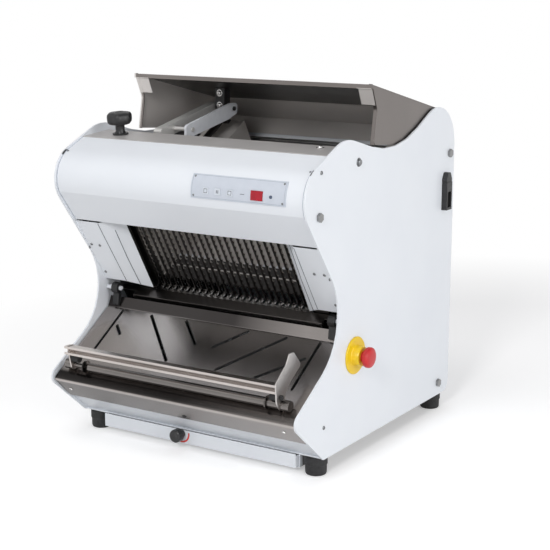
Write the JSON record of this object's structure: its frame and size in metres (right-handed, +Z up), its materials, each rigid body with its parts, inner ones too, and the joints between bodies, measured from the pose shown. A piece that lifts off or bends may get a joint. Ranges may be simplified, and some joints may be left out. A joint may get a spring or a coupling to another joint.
{
  "type": "bread slicer",
  "caption": "Table-top electric bread slicer with counter-moving blade frames, sloping slice tray, folding loaf stop, loading chute with pusher, hinged lid and crumb drawer.",
  "frame": {"origin": "middle of the machine's outline, on the surface that the feet stand on", "axes": "+Z up, -Y to the front where the slices come out, +X to the machine's right as seen from the front"},
  "size_m": [0.6682, 0.681, 0.7748],
  "materials": {
    "white": "smooth white powder coat",
    "steel": "brushed stainless",
    "black": "matt black",
    "rubber": "black rubber",
    "grey": "grey membrane",
    "light": "light membrane",
    "dark_red": "dark red window",
    "red": "red",
    "yellow": "yellow",
    "cast": "grey cast and painted metal"
  },
  "bodies": {
    "machine": {"left_side_panel": "white", "right_side_panel": "white", "base_plate": "white", "lower_front_panel": "white", "rear_panel": "white", "front_hood": "white", "left_guard": "white", "right_guard": "white", "hood_top_plate": "steel", "loading_chute": "steel", "pusher_rod_left": "steel", "pusher_rod_right": "steel", "slice_ramp": "steel", "tie_bar_front": "steel", "tie_bar_rear": "steel", "lid_hinge_rod": "steel", "inlet_housing": "black", "inlet_cap": "black", "foot_front_left": "rubber", "foot_front_right": "rubber", "foot_rear_left": "rubber", "foot_rear_right": "rubber", "drive_belt": "rubber", "control_plate": "grey", "indicator_lamp": "grey", "display_window": "dark_red", "estop_base": "yellow", "frame_guide_left": "cast", "frame_guide_right": "cast", "crank_bearing_left": "cast", "crank_bearing_right": "cast", "motor": "cast"},
    "blade_frame_front": {"blade_frame_front": "steel"},
    "blade_frame_rear": {"blade_frame_rear": "steel"},
    "crank": {"crankshaft": "steel", "driven_pulley": "cast"},
    "rod_front": {"connecting_rod_front": "cast"},
    "rod_rear": {"connecting_rod_rear": "cast"},
    "motor_pulley": {"motor_pulley": "cast"},
    "lid": {"lid": "steel", "hold_down_bracket": "black"},
    "hold_down": {"hold_down_arm": "steel", "hold_down_plate": "white"},
    "pusher": {"pusher_comb": "steel"},
    "tray": {"slice_tray": "steel", "tray_hook_left": "black", "tray_hook_right": "black"},
    "loaf_stop": {"stop_tube": "steel", "stop_rail": "steel", "stop_end_plate": "steel", "stop_bumper_left": "rubber", "stop_bumper_right": "rubber"},
    "drawer": {"crumb_drawer": "white"},
    "drawer_knob": {"drawer_knob": "black"},
    "clamp_knob": {"clamp_knob": "black"},
    "estop_button": {"estop_button": "red"},
    "start_key": {"start_key": "light"},
    "stop_key": {"stop_key": "light"},
    "mode_key": {"mode_key": "light"}
  },
  "joints": [
    {"name": "front_frame_stroke", "type": "slide", "parent": "machine", "child": "blade_frame_front", "axis": [0, -0.5045, 0.8634], "range_m": [-0.018, 0.018]},
    {"name": "rear_frame_stroke", "type": "slide", "parent": "machine", "child": "blade_frame_rear", "axis": [0, -0.5045, 0.8634], "range_m": [-0.018, 0.018]},
    {"name": "crank_spin", "type": "hinge", "parent": "machine", "child": "crank", "pos_m": [-0.01785, 0.02476, 0.11869], "axis": [1, 0, 0], "continuous": true},
    {"name": "front_rod_pivot", "type": "hinge", "parent": "crank", "child": "rod_front", "pos_m": [-0.04285, 0.00922, 0.1096], "axis": [1, 0, 0], "continuous": true},
    {"name": "rear_rod_pivot", "type": "hinge", "parent": "crank", "child": "rod_rear", "pos_m": [0.00715, 0.04031, 0.12777], "axis": [1, 0, 0], "continuous": true},
    {"name": "motor_spin", "type": "hinge", "parent": "machine", "child": "motor_pulley", "pos_m": [0.21215, 0.19248, 0.118], "axis": [1, 0, 0], "continuous": true},
    {"name": "lid_hinge", "type": "hinge", "parent": "machine", "child": "lid", "pos_m": [-0.01785, 0.31449, 0.599], "axis": [1, 0, 0], "range_deg": [0, 18]},
    {"name": "hold_down_pivot", "type": "hinge", "parent": "lid", "child": "hold_down", "pos_m": [-0.19785, 0.12248, 0.691], "axis": [1, 0, 0], "range_deg": [-8, 12]},
    {"name": "pusher_slide", "type": "slide", "parent": "machine", "child": "pusher", "axis": [0, -0.8634, -0.5045], "range_m": [0, 0.28]},
    {"name": "tray_hinge", "type": "hinge", "parent": "machine", "child": "tray", "pos_m": [-0.01785, -0.14552, 0.305], "axis": [-1, 0, 0], "range_deg": [0, 30]},
    {"name": "stop_fold", "type": "hinge", "parent": "tray", "child": "loaf_stop", "pos_m": [-0.01785, -0.31551, 0.17], "axis": [1, 0, 0], "range_deg": [-5, 60]},
    {"name": "drawer_slide", "type": "slide", "parent": "machine", "child": "drawer", "axis": [0, -1, 0], "range_m": [0, 0.25]},
    {"name": "drawer_knob_turn", "type": "hinge", "parent": "drawer", "child": "drawer_knob", "pos_m": [-0.05485, -0.23902, 0.034], "axis": [0, -1, 0], "continuous": true},
    {"name": "clamp_knob_turn", "type": "hinge", "parent": "machine", "child": "clamp_knob", "pos_m": [-0.25625, -0.17232, 0.65416], "axis": [0, -0.0787, 0.9969], "continuous": true},
    {"name": "estop_press", "type": "slide", "parent": "machine", "child": "estop_button", "axis": [-1, 0, 0], "range_m": [0, 0.006]},
    {"name": "start_key_press", "type": "slide", "parent": "machine", "child": "start_key", "axis": [0, 0.9925, -0.1219], "range_m": [0, 0.001], "stiffness_N_per_m": 300},
    {"name": "stop_key_press", "type": "slide", "parent": "machine", "child": "stop_key", "axis": [0, 0.9925, -0.1219], "range_m": [0, 0.001], "stiffness_N_per_m": 300},
    {"name": "mode_key_press", "type": "slide", "parent": "machine", "child": "mode_key", "axis": [0, 0.9925, -0.1219], "range_m": [0, 0.001], "stiffness_N_per_m": 300}
  ],
  "couplings": [
    {"joint": "rear_frame_stroke", "follows": "front_frame_stroke", "ratio": -1},
    {"joint": "front_rod_pivot", "follows": "crank_spin", "ratio": -1},
    {"joint": "rear_rod_pivot", "follows": "crank_spin", "ratio": -1},
    {"joint": "motor_spin", "follows": "crank_spin", "ratio": 2.3846}
  ]
}
